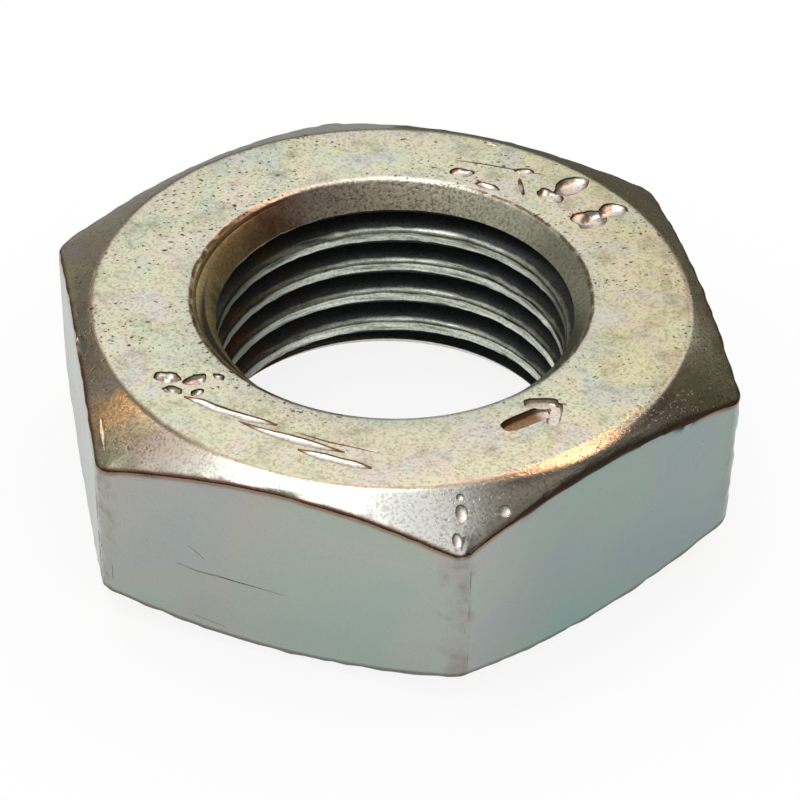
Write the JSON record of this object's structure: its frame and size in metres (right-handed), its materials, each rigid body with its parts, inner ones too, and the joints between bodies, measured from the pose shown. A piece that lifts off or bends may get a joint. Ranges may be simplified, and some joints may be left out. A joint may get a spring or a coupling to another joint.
{
  "type": "thin hex nut",
  "caption": "Thin hexagon nut in zinc-plated steel, chamfered and countersunk on both sides, with a left-hand metric fine thread.",
  "frame": {"origin": "centre of the lower bearing face, on the thread's axis", "axes": "+Z along the thread's axis, up from the lower bearing face; two opposite wrench flats square to X, two opposite corners along Y"},
  "size_m": [0.016, 0.0184, 0.0055],
  "materials": {
    "zinc_plated_steel": "satin zinc plating with a pale, faintly coloured passivation"
  },
  "bodies": {
    "root": {"hex_nut": "zinc_plated_steel"}
  },
  "joints": []
}
